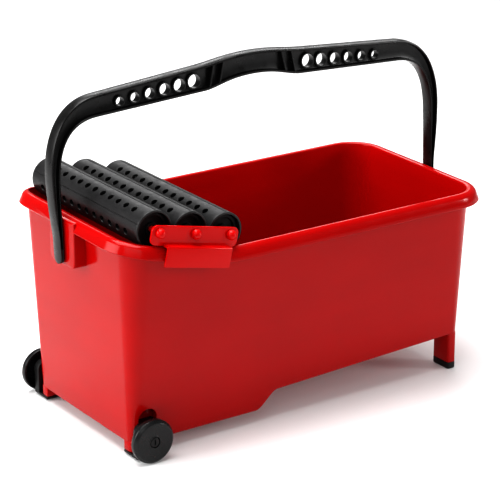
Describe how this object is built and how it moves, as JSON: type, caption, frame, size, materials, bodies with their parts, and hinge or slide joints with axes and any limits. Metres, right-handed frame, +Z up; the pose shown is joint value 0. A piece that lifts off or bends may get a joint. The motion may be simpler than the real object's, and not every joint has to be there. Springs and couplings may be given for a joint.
{
  "type": "tile washing bucket with roller wringer",
  "caption": "Long two-wheeled bucket with a stepped floor, a swinging bail handle and a lift-off wringer whose perforated rollers lie across the raised end.",
  "frame": {"origin": "on the floor under the middle of the object's plan outline", "axes": "+X along the bucket from the wheel and roller end to the leg end, +Y across it, +Z up"},
  "size_m": [0.6052, 0.303, 0.4587],
  "materials": {
    "red_plastic": "moulded, semi-gloss",
    "charcoal_plastic": "moulded, satin",
    "roller_plastic": "finely speckled, matt",
    "wheel_plastic": "moulded, satin",
    "black_plastic": "moulded, satin",
    "black_rubber": "smooth"
  },
  "bodies": {
    "bucket": {"bucket": "red_plastic", "foot_cap_near": "black_rubber", "axle_housing_near": "black_plastic", "axle_pin_near": "black_plastic", "foot_cap_far": "black_rubber", "axle_housing_far": "black_plastic", "axle_pin_far": "black_plastic"},
    "handle": {"handle": "charcoal_plastic"},
    "wheel_near": {"wheel_near": "wheel_plastic"},
    "wheel_far": {"wheel_far": "wheel_plastic"},
    "wringer": {"wringer_plate_near": "red_plastic", "wringer_plate_far": "red_plastic", "roller_1_pin_near": "red_plastic", "roller_1_pin_far": "red_plastic", "roller_2_pin_near": "red_plastic", "roller_2_pin_far": "red_plastic", "roller_3_pin_near": "red_plastic", "roller_3_pin_far": "red_plastic"},
    "roller_1": {"roller_1_tube": "roller_plastic", "roller_1_cap_near": "black_plastic", "roller_1_cap_far": "black_plastic"},
    "roller_2": {"roller_2_tube": "roller_plastic", "roller_2_cap_near": "black_plastic", "roller_2_cap_far": "black_plastic"},
    "roller_3": {"roller_3_tube": "roller_plastic", "roller_3_cap_near": "black_plastic", "roller_3_cap_far": "black_plastic"}
  },
  "joints": [
    {"name": "handle_swing", "type": "hinge", "parent": "bucket", "child": "handle", "pos_m": [0, 0, 0.2405], "axis": [1, 0, 0], "range_deg": [-118, 118]},
    {"name": "wheel_near_spin", "type": "hinge", "parent": "bucket", "child": "wheel_near", "pos_m": [-0.2465, -0.1405, 0.029], "axis": [0, 1, 0], "continuous": true},
    {"name": "wheel_far_spin", "type": "hinge", "parent": "bucket", "child": "wheel_far", "pos_m": [-0.2465, 0.1405, 0.029], "axis": [0, 1, 0], "continuous": true},
    {"name": "wringer_lift", "type": "slide", "parent": "bucket", "child": "wringer", "axis": [0, 0, 1], "range_m": [0, 0.07]},
    {"name": "roller_1_spin", "type": "hinge", "parent": "wringer", "child": "roller_1", "pos_m": [-0.2325, 0, 0.30006], "axis": [0, 1, 0], "continuous": true},
    {"name": "roller_2_spin", "type": "hinge", "parent": "wringer", "child": "roller_2", "pos_m": [-0.1813, 0, 0.2889], "axis": [0, 1, 0], "continuous": true},
    {"name": "roller_3_spin", "type": "hinge", "parent": "wringer", "child": "roller_3", "pos_m": [-0.1301, 0, 0.27774], "axis": [0, 1, 0], "continuous": true}
  ]
}
